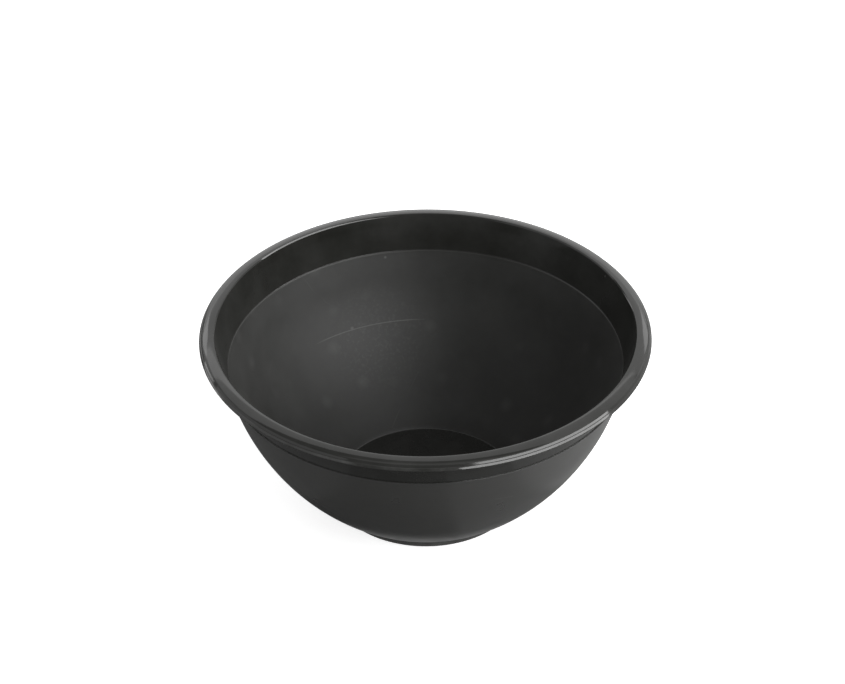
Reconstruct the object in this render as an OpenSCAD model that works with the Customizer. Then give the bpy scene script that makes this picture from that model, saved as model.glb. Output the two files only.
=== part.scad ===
// Hair color bowl: a thin round plastic bowl with a domed rim, and a rubber ring pressed under its foot.
// +Z is up along the axis of the bowl. The origin is on that axis, on the table.
// Every outline below is half of a section, with X as the radius and Y as the height.

/* [Rim] */
// Outer diameter of the rim
rim_d = 140; // [136:1:150]
// Height of the top of the rim above the table
rim_h = 62.9; // [60:0.1:66]
// Width of the crown, from its highest circle out to the rim's edge
crown_w = 4.4; // [4:0.1:5]
// Fall of the crown from its highest circle to the rim's edge
crown_fall = 2; // [1.7:0.1:2.4]
// Radius of the shoulder where the crown turns down
shoulder_r = 1.15; // [0.8:0.05:1.4]
// Radius of the rounded corner between the crown and the inside of the band
inner_edge_r = 0.5; // [0.3:0.05:0.8]
// Radius of the rounded lower edge of the rim
lower_edge_r = 0.3; // [0.2:0.05:0.5]

/* [Band] */
// Height of the ledge under the band, above the table
ledge_h = 51; // [49:0.1:53]
// Lean of the band away from upright, in degrees
band_lean = 17.3; // [15:0.1:19]
// Thickness of the band
band_t = 1.2; // [1:0.05:1.4]

/* [Wall] */
// Width of the ledge where the wall stands out from the band
ledge_w = 0.35; // [0.2:0.05:0.6]
// Thickness of the wall
wall_t = 1.75; // [1.5:0.05:2]
// Lean of the wall's straight upper part away from upright, in degrees
wall_lean = 19.1; // [17:0.1:21]
// Radius of the curve between the upper wall and the slope down to the foot
curve_r = 78; // [70:1:84]
// Rise of the slope just above the foot, in degrees above level
foot_slope = 38; // [36:0.5:40]

/* [Foot] */
// Outer radius of the foot
foot_r = 29.75; // [29:0.05:30.5]
// Height above the table at which the slope reaches the foot
foot_top = 2.25; // [2:0.05:2.6]
// Width of the foot's flat underside
foot_w = 4.2; // [4:0.1:5]
// Height of the inside floor above the table
floor_h = 3.25; // [3.1:0.05:3.5]
// Thickness of the floor
floor_t = 1.4; // [1.2:0.05:1.5]
// Radius of the moulding gate's dimple under the floor
gate_dimple_r = 5; // [3:0.5:8]
// Radius of the gate mark in the dimple
gate_mark_r = 1.1; // [0.8:0.1:1.5]

/* [Non-slip ring] */
// Middle radius of the rubber ring
ring_r = 27.7; // [27.4:0.05:27.9]
// Width of the rubber ring
ring_w = 2.3; // [1.8:0.1:2.4]
// Height of the ring that stands out below the foot
ring_proud = 0.4; // [0.3:0.05:0.6]
// Depth of the groove that holds the ring
groove_depth = 1; // [0.8:0.05:1.2]
// Gap between the ring and each side of its groove
groove_gap = 0.05; // [0.02:0.01:0.1]
// Radius of the ring's two lower edges
ring_edge_r = 0.3; // [0.2:0.05:0.5]

/* [Hidden] */
$fn = 180;

// Depth of the gate's dimple, and height of the mark in it
GATE_DIMPLE_DEPTH = 0.3;
GATE_MARK_H = 0.5;
// Height of the inner ledge above the outer one
LEDGE_OFFSET = 0.2;
// Degrees of turn in one step of an arc
ARC_STEP = 3;

// Point at distance d from p, in the direction of angle a
function along(p, a, d) = p + d * [cos(a), sin(a)];
// Radius of a straight line at height z, where the line passes through p and rises at angle a
function line_r(p, a, z) = p[0] + (z - p[1]) / tan(a);
// Points of an arc between two angles. after = 1 leaves out the first, where another arc ends
function arc(centre, radius, from, to, after = 0) =
    let (steps = ceil(abs(to - from) / ARC_STEP))
    [for (i = [after:steps]) along(centre, from + (to - from) * i / steps, radius)];

// Rim: highest circle of the crown, and the arcs that follow from it
rim_r = rim_d / 2;
edge_h = rim_h - crown_fall;
rim_bottom = edge_h - lower_edge_r;
crown_top = [rim_r - crown_w, rim_h];
shoulder_c = [rim_r - shoulder_r, edge_h];
lower_edge_c = [rim_r - lower_edge_r, edge_h];
inner_edge_c = crown_top - [0, inner_edge_r];
// The crown's arc is level at its highest circle and runs smoothly into the shoulder's arc
shoulder_run = crown_w - shoulder_r;
crown_r = (pow(shoulder_run, 2) + pow(crown_fall, 2) - pow(shoulder_r, 2)) / (2 * (crown_fall - shoulder_r));
crown_c = crown_top - [0, crown_r];
crown_end = acos(shoulder_run / (crown_r - shoulder_r));

// Band: its inner line leaves the rim's inner corner without a kink
band_a = 90 - band_lean;
band_top = along(inner_edge_c, 180 - band_lean, inner_edge_r);
band_across = band_t / cos(band_lean);
ledge_in_h = ledge_h + LEDGE_OFFSET;

// Wall: the upper line, the slope above the foot, and the curve that joins them
wall_a = 90 - wall_lean;
band_foot = [line_r(band_top, band_a, ledge_h) + band_across, ledge_h];
wall_r = band_foot[0] + ledge_w;
wall_top = [wall_r, ledge_h];
foot_point = [foot_r, foot_top];
meet_h = (foot_r - wall_r + ledge_h / tan(wall_a) - foot_top / tan(foot_slope))
    / (1 / tan(wall_a) - 1 / tan(foot_slope));
meet = [line_r(wall_top, wall_a, meet_h), meet_h];
curve_top = along(meet, wall_a, curve_r * tan((wall_a - foot_slope) / 2));
curve_c = along(curve_top, wall_a + 90, curve_r);
curve_in_r = curve_r - wall_t;
curve_in_top = along(curve_c, -wall_lean, curve_in_r);
curve_in_low = along(curve_c, foot_slope - 90, curve_in_r);

// Foot: underside of the plastic, underside of the floor, and the groove for the ring
foot_bottom = ring_proud;
recess_h = floor_h - floor_t;
recess_r = foot_r - foot_w;
groove_top = foot_bottom + groove_depth;
groove_half = ring_w / 2 + groove_gap;
dimple_h = recess_h + GATE_DIMPLE_DEPTH;

// Underside of the floor with the gate mark in its dimple, then the foot with the ring's groove
function underside() = [
    [0, dimple_h - GATE_MARK_H],
    [gate_mark_r, dimple_h - GATE_MARK_H],
    [gate_mark_r, dimple_h],
    [gate_dimple_r, dimple_h],
    [gate_dimple_r, recess_h],
    [recess_r, recess_h],
    [recess_r, foot_bottom],
    [ring_r - groove_half, foot_bottom],
    [ring_r - groove_half, groove_top],
    [ring_r + groove_half, groove_top],
    [ring_r + groove_half, foot_bottom],
    [foot_r, foot_bottom],
    foot_point
];

// Outer face of the wall up to the ledge, then of the band up to the rim
function outside() = concat(
    arc(curve_c, curve_r, foot_slope - 90, -wall_lean),
    [
        wall_top,
        band_foot,
        [line_r(band_top, band_a, rim_bottom) + band_across, rim_bottom]
    ]
);

// Round the rim: lower edge, shoulder, crown and inner corner
function rim() = concat(
    arc(lower_edge_c, lower_edge_r, -90, 0),
    arc(shoulder_c, shoulder_r, 0, crown_end, after = 1),
    arc(crown_c, crown_r, crown_end, 90, after = 1),
    arc(inner_edge_c, inner_edge_r, 90, 180 - band_lean, after = 1)
);

// Inner face of the band and the wall down to the level floor
function inside() = concat(
    [
        [line_r(band_top, band_a, ledge_in_h), ledge_in_h],
        [line_r(curve_in_top, wall_a, ledge_in_h), ledge_in_h]
    ],
    arc(curve_c, curve_in_r, -wall_lean, foot_slope - 90),
    [
        [line_r(curve_in_low, foot_slope, floor_h), floor_h],
        [0, floor_h]
    ]
);

module bowl_shell() {
    color("#2b2b29") rotate_extrude() polygon(concat(underside(), outside(), rim(), inside()));
}

module non_slip_ring() {
    inner = ring_r - ring_w / 2;
    outer = ring_r + ring_w / 2;
    color("#191919") rotate_extrude() polygon(concat(
        arc([inner + ring_edge_r, ring_edge_r], ring_edge_r, 180, 270),
        arc([outer - ring_edge_r, ring_edge_r], ring_edge_r, 270, 360),
        [[outer, groove_top], [inner, groove_top]]
    ));
}

bowl_shell();
non_slip_ring();
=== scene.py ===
"""Looks of the hair color bowl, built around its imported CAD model: metres, +Z up, standing on z = 0."""

import math

import bmesh
import bpy
from mathutils import Matrix, Quaternion, Vector


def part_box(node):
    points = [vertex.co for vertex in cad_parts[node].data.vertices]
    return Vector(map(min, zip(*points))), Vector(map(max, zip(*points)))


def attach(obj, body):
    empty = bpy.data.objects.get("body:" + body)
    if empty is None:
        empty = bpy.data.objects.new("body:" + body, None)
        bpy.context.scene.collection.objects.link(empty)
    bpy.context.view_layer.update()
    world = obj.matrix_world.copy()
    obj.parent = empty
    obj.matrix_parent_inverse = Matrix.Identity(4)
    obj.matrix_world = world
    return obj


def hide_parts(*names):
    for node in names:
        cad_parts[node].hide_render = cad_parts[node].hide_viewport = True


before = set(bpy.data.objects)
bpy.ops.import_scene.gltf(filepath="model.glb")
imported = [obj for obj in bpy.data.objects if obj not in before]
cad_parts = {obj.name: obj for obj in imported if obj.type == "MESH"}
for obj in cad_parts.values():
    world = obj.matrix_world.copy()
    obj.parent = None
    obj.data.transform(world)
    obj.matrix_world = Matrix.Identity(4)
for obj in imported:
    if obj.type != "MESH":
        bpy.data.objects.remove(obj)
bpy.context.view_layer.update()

MM = 0.001

# ---------------------------------------------------------------- sizes, in millimetres
shell_low, shell_high = (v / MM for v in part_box("bowl_shell"))
ring_low, ring_high = (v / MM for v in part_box("non_slip_ring"))
RIM_R = shell_high.x
RIM_H = shell_high.z
FOOT_BOTTOM = shell_low.z
RING_OUT = ring_high.x
RING_TOP = ring_high.z

# Rim
CROWN_W = 4.4
CROWN_FALL = 2.0
SHOULDER_R = 1.15
INNER_EDGE_R = 0.5
LOWER_EDGE_R = 0.3
# The rim's outer face and the small bead under it lean alike, with a narrow step between them.
# Each place is how far it lies inside the rim's edge, and how far below the rim's top.
FACE_TOP = (1.1, 0.68)
FACE_FOOT = (0.62, 1.36)
BEAD_TOP = (0.42, 1.42)
BEAD_FOOT = (0, 2.015)
# Width of the flat on the inner corner of the rim, and how steeply it falls towards the axis
INNER_FLAT = 0.5
INNER_FLAT_LEAN = math.radians(55)
# Degrees above level, seen from the crown's centre, at which the crown gives way to the leaning face
CROWN_START = 72
# Band and wall. The ledge lies a little higher inside, and slopes over a short height
LEDGE_H = 51.0
LEDGE_W = 0.35
LEDGE_OFFSET = 0.2
LEDGE_SLOPE = 0.2
BAND_LEAN = math.radians(17.3)
BAND_T = 1.2
WALL_T = 1.75
WALL_LEAN = math.radians(19.1)
CURVE_R = 78.0
FOOT_SLOPE = math.radians(38)
# Foot and floor
FOOT_R = 29.75
FOOT_TOP = 2.25
FOOT_W = 4.2
FLOOR_H = 3.25
FLOOR_T = 1.4
# Under the floor: the moulding gate's dimple, and the gate mark in it
DIMPLE_R = 5.0
DIMPLE_DEPTH = 0.3
GATE_R = 1.1
GATE_H = 0.5
# Ring and its groove
RING_W = 2.3
GROOVE_GAP = 0.05

# The rim's gloss: how far below the rim's top it ends, and down to where it is full
RIM_GLOSS_END = 3.6
RIM_GLOSS_FULL = 3.0

# Plastic: tones of the polished faces, of the satin wall outside and inside, and of what lies on them. The
# outside's paler satin tone is painted light; the bead's tone is a painted highlight; the foot's tone is
# painted light, with a painted highlight along its upper edge.
POLISHED_TONE = (0.015, 0.0152, 0.0134, 1)
OUTER_LIT_TONE = (0.055, 0.0553, 0.053, 1)
INNER_TONE = (0.021, 0.0212, 0.0198, 1)
MOTTLE_TONE = (0.06, 0.06, 0.058, 1)
SPOT_TONE = (0.075, 0.075, 0.073, 1)
DUST_TONE = (0.1, 0.1, 0.097, 1)
HAIRLINE_TONE = (0.12, 0.12, 0.117, 1)
MARK_TONE = (0.16, 0.16, 0.155, 1)
BEAD_SHEEN_TONE = (0.11, 0.11, 0.107, 1)
FOOT_SHEEN_TONE = (0.13, 0.13, 0.127, 1)
RIM_ROUGHNESS = 0.07
BAND_ROUGHNESS = 0.16
OUTER_ROUGHNESS = 0.3
INNER_ROUGHNESS = 0.56
PLASTIC_IOR = 1.49

# Rubber: its two tones, and those of the scuffs and the dust on its underside
RUBBER_DARK = (0.013, 0.013, 0.0125, 1)
RUBBER_PALE = (0.024, 0.024, 0.023, 1)
RUBBER_SCUFF = (0.06, 0.059, 0.056, 1)
RUBBER_DUST = (0.13, 0.125, 0.115, 1)

# Stage, in metres: how far the floor reaches to each side, and its colour and glow
FLOOR_REACH = 3
FLOOR_COLOUR = 0.8
FLOOR_GLOW = 0.75
# A disc just under the floor that lights the foot
DISC_H = -0.0001
DISC_R = 0.036
DISC_COLOUR = 0.5
DISC_GLOW = 0.12
# Sheets under that, which light the bowl from below: name, left, right and colour. Their colours are painted
# shade of the floor, darker to the left and darkest just left of the middle, seen only in reflections and
# bounced light.
SHEET_H = -0.0002
SHEET_DEPTH = 6
SHEETS = (
    ("left_sheet", -FLOOR_REACH, -0.045, 0.25),
    ("dark_sheet", -0.045, 0.012, 0.16),
    ("grey_sheet", 0.012, 0.05, 0.28),
    ("pale_sheet", 0.05, FLOOR_REACH, 0.48),
)
WORLD_GLOW = 0.2

# Fineness: segments around the bowl, longest step along a section, degrees in one step of the crown,
# and steps per radian on small and on wide roundings
AROUND = 360
LONGEST = 1.2
CROWN_STEP = 6
SMALL_ARC_STEPS = 6
WIDE_ARC_STEPS = 16
# Half the angle between two lines from which they count as one line
NEARLY_STRAIGHT = math.radians(89.9)


# ---------------------------------------------------------------- outlines
def step(point, angle, distance):
    """The point at a distance along a direction."""
    return (point[0] + distance * math.cos(angle), point[1] + distance * math.sin(angle))


def line_r(point, angle, height):
    """Radius at a height of the straight line through point that rises at angle."""
    return point[0] + (height - point[1]) / math.tan(angle)


def arc(centre, radius, start, end):
    """Points of an arc between two angles in degrees, both ends included."""
    count = max(3, math.ceil(abs(end - start) / CROWN_STEP))
    turns = [math.radians(start + (end - start) * i / count) for i in range(count + 1)]
    return [step(centre, turn, radius) for turn in turns]


def rounded(corners):
    """An open outline through corners (radius, height, rounding), with every rounding drawn as an arc."""
    points = [corners[0][:2]]
    for before, (r, z, rounding), after in zip(corners, corners[1:], corners[2:]):
        corner = Vector((r, z))
        back = (Vector(before[:2]) - corner).normalized()
        ahead = (Vector(after[:2]) - corner).normalized()
        half = back.angle(ahead) / 2
        if rounding == 0 or half > NEARLY_STRAIGHT:
            points.append((r, z))
            continue
        centre = corner + (back + ahead).normalized() * rounding / math.sin(half)
        first = corner + back * rounding / math.tan(half) - centre
        last = corner + ahead * rounding / math.tan(half) - centre
        turn = first.angle_signed(last)
        finest = SMALL_ARC_STEPS if rounding < 1 else WIDE_ARC_STEPS
        count = max(3, math.ceil(abs(turn) * max(rounding / LONGEST, finest)))
        for i in range(count + 1):
            points.append(tuple(centre + Matrix.Rotation(-turn * i / count, 2) @ first))
    points.append(corners[-1][:2])
    return points


def densified(points, longest=LONGEST, margin=0.12):
    """Adds points on long straight runs, with one close to each end so that shading stays crisp there."""
    out = [points[0]]
    for a, b in zip(points, points[1:]):
        a, b = Vector(a), Vector(b)
        length = (b - a).length
        if length < 1e-6:
            continue
        places = []
        if length > longest * 1.1:
            count = math.ceil((length - 2 * margin) / longest)
            inner = [margin + (length - 2 * margin) * i / count for i in range(count + 1)]
            places = [distance / length for distance in inner]
        out += [tuple(a.lerp(b, place)) for place in places]
        out.append(tuple(b))
    return out


def shell_outline():
    """The bowl's section, from the axis under the floor, round the rim and back to the axis on the floor."""
    edge_h = RIM_H - CROWN_FALL
    rim_bottom = edge_h - LOWER_EDGE_R
    crown_top = (RIM_R - CROWN_W, RIM_H)
    run = CROWN_W - SHOULDER_R
    crown_r = (run**2 + CROWN_FALL**2 - SHOULDER_R**2) / (2 * (CROWN_FALL - SHOULDER_R))
    crown_c = (crown_top[0], RIM_H - crown_r)
    inner_edge_c = (crown_top[0], RIM_H - INNER_EDGE_R)

    band_a = math.pi / 2 - BAND_LEAN
    band_top = step(inner_edge_c, math.pi - BAND_LEAN, INNER_EDGE_R)
    band_out = line_r(band_top, band_a, LEDGE_H) + BAND_T / math.cos(BAND_LEAN)
    band_out_top = line_r(band_top, band_a, rim_bottom) + BAND_T / math.cos(BAND_LEAN)
    ledge_in_top = LEDGE_H + LEDGE_OFFSET + LEDGE_SLOPE
    ledge_in_low = LEDGE_H + LEDGE_OFFSET - LEDGE_SLOPE

    wall_a = math.pi / 2 - WALL_LEAN
    wall_top = (band_out + LEDGE_W, LEDGE_H)
    meet_h = (FOOT_R - wall_top[0] + LEDGE_H / math.tan(wall_a) - FOOT_TOP / math.tan(FOOT_SLOPE)) / (
        1 / math.tan(wall_a) - 1 / math.tan(FOOT_SLOPE)
    )
    meet = (line_r(wall_top, wall_a, meet_h), meet_h)
    # The inside of the wall: both of its straight lines moved in by the wall's thickness
    upper_in = step(wall_top, wall_a + math.pi / 2, WALL_T)
    lower_in = step((FOOT_R, FOOT_TOP), FOOT_SLOPE + math.pi / 2, WALL_T)
    tilt = (wall_a + FOOT_SLOPE) / 2 + math.pi / 2
    meet_in = step(meet, tilt, WALL_T / math.cos((wall_a - FOOT_SLOPE) / 2))

    recess_h = FLOOR_H - FLOOR_T
    dimple_h = recess_h + DIMPLE_DEPTH
    gate_low = dimple_h - GATE_H
    groove_in = RING_OUT - RING_W - GROOVE_GAP
    groove_out = RING_OUT + GROOVE_GAP

    corners = [
        (0, gate_low, 0),
        (GATE_R, gate_low, 0.12),
        (GATE_R, dimple_h, 0.1),
        (DIMPLE_R, dimple_h, 0.15),
        (DIMPLE_R + DIMPLE_DEPTH, recess_h, 0.2),
        (FOOT_R - FOOT_W, recess_h, 0.5),
        (FOOT_R - FOOT_W, FOOT_BOTTOM, 0.3),
        (groove_in, FOOT_BOTTOM, 0.12),
        (groove_in, RING_TOP, 0.05),
        (groove_out, RING_TOP, 0.05),
        (groove_out, FOOT_BOTTOM, 0.12),
        (FOOT_R, FOOT_BOTTOM, 0.22),
        (FOOT_R, FOOT_TOP, 0.4),
        (*meet, CURVE_R),
        (*wall_top, 0.16),
        (band_out, LEDGE_H, 0.1),
        (band_out_top, rim_bottom, 0.35),
        (RIM_R, rim_bottom, 0.1),
        (RIM_R - BEAD_FOOT[0], RIM_H - BEAD_FOOT[1], 0.12),
        (RIM_R - BEAD_TOP[0], RIM_H - BEAD_TOP[1], 0.06),
        (RIM_R - FACE_FOOT[0], RIM_H - FACE_FOOT[1], 0.06),
        (RIM_R - FACE_TOP[0], RIM_H - FACE_TOP[1], 0.5),
        step(crown_c, math.radians(CROWN_START), crown_r) + (0,),
    ]
    crown = arc(crown_c, crown_r, CROWN_START, 90)
    # A narrow flat cuts the inner corner
    sharp_r = line_r(band_top, band_a, RIM_H)
    cut = INNER_FLAT * (math.cos(INNER_FLAT_LEAN) - math.sin(INNER_FLAT_LEAN) / math.tan(band_a))
    flat_top = (sharp_r + cut, RIM_H)
    flat_foot = step(flat_top, math.pi + INNER_FLAT_LEAN, INNER_FLAT)
    inside = [
        (*crown_top, 0),
        (*flat_top, 0.1),
        (*flat_foot, 0.1),
        (line_r(band_top, band_a, ledge_in_top), ledge_in_top, 0.2),
        (line_r(upper_in, wall_a, ledge_in_low), ledge_in_low, 0.2),
        (*meet_in, CURVE_R - WALL_T),
        (line_r(lower_in, FOOT_SLOPE, FLOOR_H), FLOOR_H, 0.6),
        (0, FLOOR_H, 0),
    ]
    return densified(rounded(corners)[:-1] + crown[:-1] + rounded(inside))


def ring_outline():
    """The rubber ring's section, closed, from its inner upper corner down and round."""
    inner = RING_OUT - RING_W
    low = ring_low.z
    corners = [
        ((inner + RING_OUT) / 2, RING_TOP, 0),
        (inner, RING_TOP, 0.1),
        (inner, low, 0.3),
        (RING_OUT, low, 0.3),
        (RING_OUT, RING_TOP, 0.1),
        ((inner + RING_OUT) / 2, RING_TOP, 0),
    ]
    return densified(rounded(corners), longest=0.6, margin=0.06)


def ramp(value, start, end):
    """0 up to the start, 1 from the end on, and even in between. The start may be the higher one."""
    return min(max((value - start) / (end - start), 0), 1)


def satin_share(r, z, inner):
    """1 on the satin wall, inside and out; 0 on the polished floor, foot, band and rim."""
    low = FOOT_TOP + 0.35 if r > FOOT_R - 0.5 else FLOOR_H
    high, fade = (LEDGE_H + 0.35, 0.3) if inner else (LEDGE_H - 0.02, 0.1)
    return min(ramp(z, low, low + 0.3), ramp(z, high, high - fade))


def unshaded_share(z):
    """The inner wall's paler tone, which fades out softly towards the floor and the ledge: painted shade in
    the floor's corner and at the ledge.
    """
    return min(ramp(z, FLOOR_H + 0.3, FLOOR_H + 4.3), ramp(z, LEDGE_H + 0.4, LEDGE_H - 1))


def bead_highlight_share(r, z):
    """How much painted highlight a place gets: the rim's bead, which stands out furthest."""
    middle_r = RIM_R - BEAD_TOP[0] / 2
    middle_z = RIM_H - (BEAD_TOP[1] + BEAD_FOOT[1]) / 2
    distance = math.hypot(r - middle_r, z - middle_z)
    return ramp(distance, 0.56, 0.21)


def foot_sheen_share(r, z):
    """How much painted light a place gets on the foot: half on the foot, and fully on the foot's upper edge,
    where it is a painted highlight.
    """
    if r < FOOT_R - FOOT_W:
        return 0
    return max(ramp(abs(z - FOOT_TOP), 0.45, 0), 0.5 if z < FOOT_TOP else 0)


# ---------------------------------------------------------------- meshes
def turned(name, outline):
    """A closed mesh that turns an outline (radius, height) in millimetres once around the Z axis."""
    mesh = bmesh.new()
    loops = []
    for r, z in outline:
        if r < 1e-6:
            loops.append([mesh.verts.new((0, 0, z * MM))])
            continue
        turns = [2 * math.pi * i / AROUND for i in range(AROUND)]
        loops.append([mesh.verts.new((r * MM * math.cos(t), r * MM * math.sin(t), z * MM)) for t in turns])
    closed = len(loops[0]) > 1
    if closed:
        for vert in loops[-1]:
            mesh.verts.remove(vert)
        loops[-1] = loops[0]
    for below, above in zip(loops, loops[1:]):
        for i in range(AROUND):
            j = (i + 1) % AROUND
            if len(below) == 1:
                mesh.faces.new((below[0], above[j], above[i]))
            elif len(above) == 1:
                mesh.faces.new((below[i], below[j], above[0]))
            else:
                mesh.faces.new((below[i], below[j], above[j], above[i]))
    bmesh.ops.recalc_face_normals(mesh, faces=mesh.faces)
    data = bpy.data.meshes.new(name)
    mesh.to_mesh(data)
    mesh.free()
    add_masks(data)
    data.polygons.foreach_set("use_smooth", [True] * len(data.polygons))
    piece = bpy.data.objects.new(name, data)
    bpy.context.scene.collection.objects.link(piece)
    return piece


def add_masks(data):
    """Writes on each point of the mesh how much of each finish it has, and where the material paints shade
    and highlights, for the materials to read.
    """
    section = [(v.co.xy.length / MM, v.co.z / MM) for v in data.vertices]
    # A point belongs to the inside where its normal clearly turns towards the axis
    inner = [float(v.normal.xy.dot(v.co.xy.normalized()) < -0.05) for v in data.vertices]
    masks = {
        "satin": [satin_share(r, z, side) for (r, z), side in zip(section, inner)],
        "rim": [ramp(z, RIM_H - RIM_GLOSS_END, RIM_H - RIM_GLOSS_FULL) for r, z in section],
        "bead_glint": [bead_highlight_share(r, z) for r, z in section],
        "foot": [foot_sheen_share(r, z) for r, z in section],
        "inner": inner,
        "pale": [unshaded_share(z) if side else 1 for (r, z), side in zip(section, inner)],
    }
    for name, values in masks.items():
        data.attributes.new(name, "FLOAT", "POINT").data.foreach_set("value", values)


# ---------------------------------------------------------------- materials
def node(tree, kind, inputs, **settings):
    """Adds a shader node and returns its outputs. Each input is a value, or a socket to link from."""
    item = tree.nodes.new("ShaderNode" + kind)
    for name, value in settings.items():
        setattr(item, name, value)
    for key, value in inputs.items():
        if isinstance(value, bpy.types.NodeSocket):
            tree.links.new(value, item.inputs[key])
        else:
            item.inputs[key].default_value = value
    return item.outputs


def calc(tree, operation, a, b=0.0):
    """One calculation with two numbers or sockets."""
    return node(tree, "Math", {0: a, 1: b}, operation=operation)[0]


def product(tree, *factors):
    """The product of numbers and sockets."""
    total = factors[0]
    for factor in factors[1:]:
        total = calc(tree, "MULTIPLY", total, factor)
    return total


def remap(tree, value, low, high, to_low=0.0, to_high=1.0):
    """Maps low..high onto to_low..to_high and holds the ends."""
    ends = {"From Min": low, "From Max": high, "To Min": to_low, "To Max": to_high}
    return node(tree, "MapRange", {"Value": value, **ends})[0]


def blend(tree, factor, first, second):
    """Mixes two colours."""
    return node(tree, "Mix", {0: factor, 6: first, 7: second}, data_type="RGBA")[2]


def noise(tree, place, size, detail=2.0, roughness=0.5):
    """Soft noise whose features are about size millimetres wide."""
    inputs = {"Vector": place, "Scale": 1 / (size * MM), "Detail": detail, "Roughness": roughness}
    return node(tree, "TexNoise", inputs)[0]


def cells(tree, place, size, feature, randomness=1.0):
    """Distance in a cell pattern whose cells are about size millimetres wide."""
    inputs = {"Vector": place, "Scale": 1 / (size * MM), "Randomness": randomness}
    return node(tree, "TexVoronoi", inputs, feature=feature)[0]


def mask(tree, name):
    """A value that the mesh carries."""
    return node(tree, "Attribute", {}, attribute_name=name)["Fac"]


def gap(tree, place, point):
    """Distance in metres from a point given in millimetres."""
    return node(tree, "VectorMath", {0: place, 1: Vector(point) * MM}, operation="DISTANCE")["Value"]


def speck(tree, place, point, radius):
    """A small round spot."""
    return remap(tree, gap(tree, place, point), radius * MM, radius * MM * 0.3)


def scratch(tree, place, start, end, width):
    """A fine straight scratch between two points given in millimetres."""
    start, along = Vector(start) * MM, (Vector(end) - Vector(start)) * MM
    per_length = along / along.length_squared
    offset = node(tree, "VectorMath", {0: place, 1: start}, operation="SUBTRACT")[0]
    run = node(tree, "VectorMath", {0: offset, 1: per_length}, operation="DOT_PRODUCT")["Value"]
    reach = node(tree, "VectorMath", {0: along, "Scale": remap(tree, run, 0, 1)}, operation="SCALE")[0]
    distance = node(tree, "VectorMath", {0: offset, 1: reach}, operation="DISTANCE")["Value"]
    return remap(tree, distance, width * MM, width * MM * 0.2)


def new_material(name):
    """A material with its tree, its shader and the object's own coordinates."""
    material = bpy.data.materials.new(name)
    material.use_nodes = True
    tree = material.node_tree
    return material, tree, tree.nodes["Principled BSDF"], node(tree, "TexCoord", {})["Object"]


def flow_line(tree, place):
    """A long faint line on the inside of the wall, at the back and left."""
    height = node(tree, "SeparateXYZ", {0: place})[2]
    off = calc(tree, "ABSOLUTE", calc(tree, "SUBTRACT", height, 29.8 * MM))
    line = remap(tree, off, 0.22 * MM, 0.04 * MM)
    length = remap(tree, gap(tree, place, (-19, 49, 30)), 20 * MM, 14 * MM)
    return product(tree, line, length, mask(tree, "inner"))


def largest(tree, *values):
    """The largest of several sockets."""
    top = values[0]
    for value in values[1:]:
        top = calc(tree, "MAXIMUM", top, value)
    return top


def single_marks(tree, place):
    """The few marks that stand out: a flow line and three specks inside, and a scratch outside."""
    return largest(
        tree,
        flow_line(tree, place),
        speck(tree, place, (-23.8, 47.2, 30.2), 0.8),
        speck(tree, place, (-12.8, 59.5, 49.8), 0.6),
        speck(tree, place, (57.2, 30.3, 61.3), 0.5),
        scratch(tree, place, (20.6, -55.1, 38.8), (25.8, -52.4, 37.8), 0.25),
    )


def fine_hairlines(tree, place):
    """Stretches of a bent network of very thin lines."""
    bend = noise(tree, place, 25)
    bent = node(tree, "VectorMath", {0: (0.012, 0.01, 0.015), "Scale": bend}, operation="SCALE")[0]
    bent = node(tree, "VectorMath", {0: place, 1: bent}, operation="ADD")[0]
    network = remap(tree, cells(tree, bent, 34, "DISTANCE_TO_EDGE"), 0.006, 0.001)
    return product(tree, network, remap(tree, noise(tree, place, 22), 0.55, 0.65))


def plastic_patterns(tree, place):
    """What varies over the plastic, by name. Mottle runs from -1 to 1, and the rest from 0 to 1."""
    inner_satin = product(tree, mask(tree, "satin"), mask(tree, "inner"))
    spots = remap(tree, cells(tree, place, 12, "F1", 0.5), 0.24, 0.06)
    spots = product(tree, spots, remap(tree, noise(tree, place, 30), 0.3, 0.5))
    # A dusty patch at the back and left
    dust = remap(tree, noise(tree, place, 1.1, 3, 0.7), 0.5, 0.68)
    dust = product(tree, dust, speck(tree, place, (-16, 48, 25), 22))
    bead_patches = remap(tree, noise(tree, place, 5, 4, 0.6), 0.35, 0.7)
    foot_sheen_noise = remap(tree, noise(tree, place, 3, 4, 0.6), 0.25, 0.6, 0.5, 1)
    return {
        "mottle": remap(tree, noise(tree, place, 16, 4, 0.6), 0.3, 0.7, -1, 1),
        "spots": product(tree, spots, inner_satin),
        "dust": product(tree, dust, inner_satin),
        "hairlines": product(tree, fine_hairlines(tree, place), inner_satin),
        "marks": single_marks(tree, place),
        # The rim's bead: a painted highlight, broken into patches
        "bead_sheen": product(tree, mask(tree, "bead_glint"), bead_patches),
        # The foot: painted light, and a painted highlight along its upper edge, in noisy patches
        "foot_sheen": product(tree, mask(tree, "foot"), foot_sheen_noise),
    }


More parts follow.
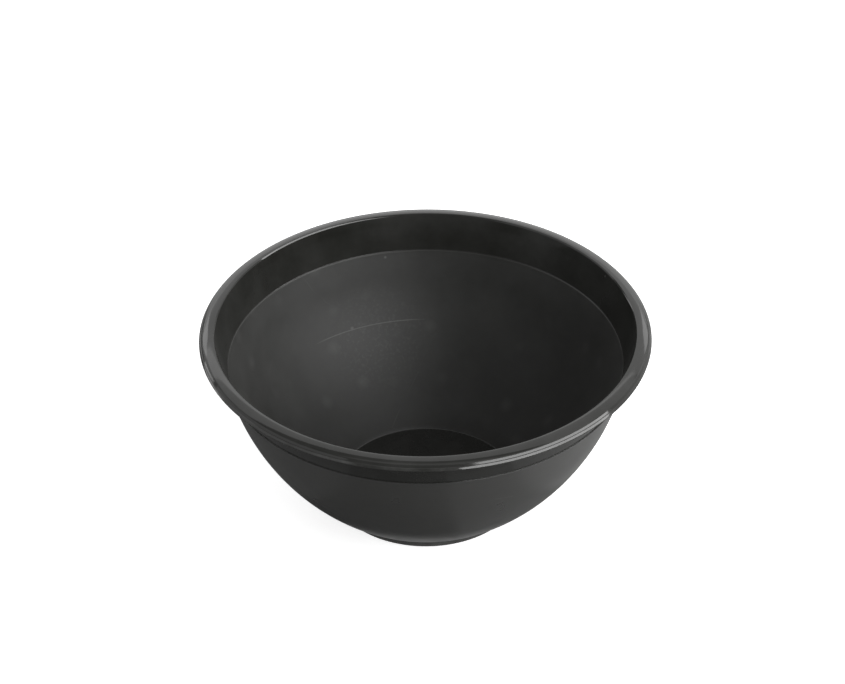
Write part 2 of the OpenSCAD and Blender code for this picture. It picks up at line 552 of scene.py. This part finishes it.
def plastic_tone(tree, patterns):
    """Colour: olive black on the polished faces, paler on the satin wall, under every pattern. The outer
    wall's extra paleness is painted light, and the inner wall's darkening towards the floor and the ledge is
    painted shade.
    """
    # The satin wall is paler outside than inside: painted light on the outer wall
    satin_tone = blend(tree, mask(tree, "inner"), OUTER_LIT_TONE, INNER_TONE)
    # Inside, the paler tone gives way to the polished one near the floor and the ledge: painted shade there
    pale = product(tree, mask(tree, "satin"), mask(tree, "pale"))
    tone = blend(tree, pale, POLISHED_TONE, satin_tone)
    tone = blend(tree, remap(tree, patterns["mottle"], -1, 1, 0, 0.3), tone, MOTTLE_TONE)
    layers = (
        ("spots", 0.28, SPOT_TONE),
        ("dust", 0.22, DUST_TONE),
        ("hairlines", 0.2, HAIRLINE_TONE),
        ("marks", 0.35, MARK_TONE),
        # Painted highlight on the rim's bead
        ("bead_sheen", 0.5, BEAD_SHEEN_TONE),
        # Painted light on the foot and a painted highlight on its upper edge
        ("foot_sheen", 0.8, FOOT_SHEEN_TONE),
    )
    for name, strength, colour in layers:
        tone = blend(tree, product(tree, patterns[name], strength), tone, colour)
    return tone


def plastic_roughness(tree, patterns):
    """Roughness: glossy rim, smooth band, floor and foot, satin wall, and rougher on the hairlines, on the
    foot's painted light and a little on the bead's painted highlight.
    """
    satin = mask(tree, "satin")
    satin_gloss = remap(tree, mask(tree, "inner"), 0, 1, OUTER_ROUGHNESS, INNER_ROUGHNESS)
    polished_gloss = remap(tree, mask(tree, "rim"), 0, 1, BAND_ROUGHNESS, RIM_ROUGHNESS)
    gloss = remap(tree, satin, 0, 1, polished_gloss, satin_gloss)
    gloss = calc(tree, "ADD", gloss, product(tree, patterns["mottle"], 0.03, satin))
    for name, amount in (("hairlines", 0.1), ("bead_sheen", 0.02), ("foot_sheen", 0.12)):
        gloss = calc(tree, "ADD", gloss, product(tree, patterns[name], amount))
    return gloss


def plastic_relief(tree, place, patterns):
    """Bump: fine grain on the satin wall, a slight waviness everywhere, and marks cut into the surface."""
    grain = product(tree, noise(tree, place, 0.35, 3), mask(tree, "satin"))
    fine = node(tree, "Bump", {"Height": grain, "Distance": 0.004 * MM})[0]
    wave = node(tree, "Bump", {"Height": noise(tree, place, 4), "Distance": 0.005 * MM, "Normal": fine})[0]
    cut = {"Height": patterns["marks"], "Distance": 0.003 * MM, "Normal": wave}
    return node(tree, "Bump", cut, invert=True)[0]


def plastic():
    """Charcoal moulded polypropylene: satin wall, polished rim, band, floor and foot."""
    material, tree, shader, place = new_material("shell_plastic")
    patterns = plastic_patterns(tree, place)
    shader.inputs["IOR"].default_value = PLASTIC_IOR
    tree.links.new(plastic_tone(tree, patterns), shader.inputs["Base Color"])
    tree.links.new(plastic_roughness(tree, patterns), shader.inputs["Roughness"])
    tree.links.new(plastic_relief(tree, place, patterns), shader.inputs["Normal"])
    return material


def rubber():
    """Matte black rubber with an uneven tone, fine grain, and dust and scuff marks on its underside."""
    material, tree, shader, place = new_material("ring_rubber")
    height = node(tree, "SeparateXYZ", {0: place})[2]
    underside = remap(tree, height, 0.35 * MM, 0.05 * MM)
    mottle = remap(tree, noise(tree, place, 6, 3, 0.6), 0.3, 0.7)
    dust = product(tree, remap(tree, noise(tree, place, 1.2, 4, 0.7), 0.5, 0.75), underside)
    scuff = product(tree, remap(tree, noise(tree, place, 9, 5, 0.65), 0.48, 0.62), underside)

    tone = blend(tree, mottle, RUBBER_DARK, RUBBER_PALE)
    tone = blend(tree, product(tree, scuff, 0.35), tone, RUBBER_SCUFF)
    tone = blend(tree, product(tree, dust, 0.5), tone, RUBBER_DUST)
    tree.links.new(tone, shader.inputs["Base Color"])

    gloss = remap(tree, mottle, 0, 1, 0.62, 0.74)
    gloss = calc(tree, "ADD", gloss, product(tree, dust, 0.2))
    gloss = calc(tree, "SUBTRACT", gloss, product(tree, scuff, 0.15))
    tree.links.new(gloss, shader.inputs["Roughness"])
    shader.inputs["Specular IOR Level"].default_value = 0.4

    grain = node(tree, "Bump", {"Height": noise(tree, place, 0.25, 3), "Distance": 0.012 * MM})[0]
    tree.links.new(grain, shader.inputs["Normal"])
    return material


# ---------------------------------------------------------------- stage
def add_camera():
    """The camera stands about a metre off, in front of the bowl and 35 degrees above it."""
    elevation = math.radians(35.18)
    roll = math.radians(-0.507)
    distance = 1.0064
    lens = 138.68
    shift_right = -0.00086
    shift_up = -0.0042
    forward = Vector((0, math.cos(elevation), -math.sin(elevation)))
    right = Vector((1, 0, 0))
    up = right.cross(forward)
    # A small turn about the line of sight
    cam_right = math.cos(roll) * right + math.sin(roll) * up
    cam_up = -math.sin(roll) * right + math.cos(roll) * up
    rim_centre = Vector((0, 0, RIM_H * MM))
    place = rim_centre - distance * forward + shift_right * cam_right + shift_up * cam_up
    camera = bpy.data.objects.new("camera", bpy.data.cameras.new("camera"))
    camera.data.sensor_width = 36
    camera.data.lens = lens
    camera.data.clip_start = 0.05
    axes = Matrix((cam_right, cam_up, -forward)).transposed()
    camera.matrix_world = Matrix.Translation(place) @ axes.to_4x4()
    bpy.context.scene.collection.objects.link(camera)
    bpy.context.scene.camera = camera


def matte(name, colour, glow):
    """A plain matte stage material with a glow."""
    material = bpy.data.materials.new(name)
    material.use_nodes = True
    shader = material.node_tree.nodes["Principled BSDF"]
    shader.inputs["Base Color"].default_value = (colour, colour, colour, 1)
    shader.inputs["Roughness"].default_value = 1
    shader.inputs["Specular IOR Level"].default_value = 0
    shader.inputs["Emission Color"].default_value = (1, 1, 1, 1)
    shader.inputs["Emission Strength"].default_value = glow
    return material


def sheet(name, left, right, height, colour, glow=0):
    """A level stage sheet between two values of X, with a plain matte colour and a glow."""
    bpy.ops.mesh.primitive_plane_add(size=1, location=((left + right) / 2, 0, height))
    piece = bpy.context.object
    piece.name = name
    piece.scale = (right - left, SHEET_DEPTH, 1)
    piece.data.materials.append(matte(name, colour, glow))
    return piece


def add_floor():
    """A plain pale floor, almost white to the camera, and under it what lights the bowl from below. The
    sheets there, seen only in reflections and bounced light, carry painted shade: darker to the left.
    """
    floor = sheet("floor", -FLOOR_REACH, FLOOR_REACH, 0, FLOOR_COLOUR, FLOOR_GLOW)
    floor.visible_diffuse = False
    floor.visible_glossy = False
    floor.visible_shadow = False
    # Sheets darker to the left: painted shade of the floor, for reflections and bounced light only
    for name, left, right, colour in SHEETS:
        sheet(name, left, right, SHEET_H, colour).visible_camera = False
    bpy.ops.mesh.primitive_circle_add(
        vertices=64, radius=DISC_R, fill_type="NGON", location=(0, 0, DISC_H)
    )
    glow = bpy.context.object
    glow.name = "foot_glow"
    glow.data.materials.append(matte("foot_glow", DISC_COLOUR, DISC_GLOW))
    glow.visible_camera = False


def softbox(name, azimuth, elevation, width, height, radiance, distance=1.6, roll=0):
    """A rectangular soft light that faces the bowl.

    Angles are in degrees, and the azimuth turns from the front to the right. Sizes are in metres.
    """
    turn, rise = math.radians(azimuth), math.radians(elevation)
    outward = Vector((math.sin(turn) * math.cos(rise), -math.cos(turn) * math.cos(rise), math.sin(rise)))
    light = bpy.data.lights.new(name, "AREA")
    light.shape = "RECTANGLE"
    light.size = width
    light.size_y = height
    light.energy = math.pi * width * height * radiance
    lamp = bpy.data.objects.new(name, light)
    lamp.location = Vector((0, 0, RIM_H * MM / 2)) + distance * outward
    facing = outward.to_track_quat("Z", "Y") @ Quaternion((0, 0, 1), math.radians(roll))
    lamp.rotation_euler = facing.to_euler()
    bpy.context.scene.collection.objects.link(lamp)


def add_lights():
    """Plain soft studio light: a key from the right, a pale backdrop, and weak light from left and above."""
    world = bpy.data.worlds.new("studio")
    bpy.context.scene.world = world
    world.use_nodes = True
    background = world.node_tree.nodes["Background"]
    background.inputs["Color"].default_value = (1, 1, 1, 1)
    background.inputs["Strength"].default_value = WORLD_GLOW
    softbox("key", 57, 26, 2.3, 0.6, 6.4, roll=-8)
    softbox("high", 65, 60, 1.4, 0.9, 0.9)
    softbox("right", 112, 18, 1.4, 1.2, 0.5)
    softbox("backdrop_low", 180, 12, 1.7, 0.75, 1.1)
    softbox("backdrop_high", 180, 34, 4.4, 0.55, 0.85)
    softbox("overhead", 165, 54, 2.6, 0.8, 0.85)
    softbox("top", 0, 88, 0.9, 0.9, 0.35)
    softbox("strip_right", 152, 28, 0.25, 0.2, 1.4, distance=1.5)
    softbox("strip_left", 208, 28, 0.25, 0.2, 1.4, distance=1.5)
    softbox("fill", 282, 20, 2.4, 1.2, 0.55)
    softbox("left_low", 250, 2, 2.2, 0.2, 1.8)


add_camera()
add_floor()
add_lights()

shell = turned("shell", shell_outline())
shell.data.materials.append(plastic())
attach(shell, "root")
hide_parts("bowl_shell")

ring = turned("ring", ring_outline())
ring.data.materials.append(rubber())
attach(ring, "root")
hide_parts("non_slip_ring")

bpy.context.scene.view_settings.view_transform = "Standard"
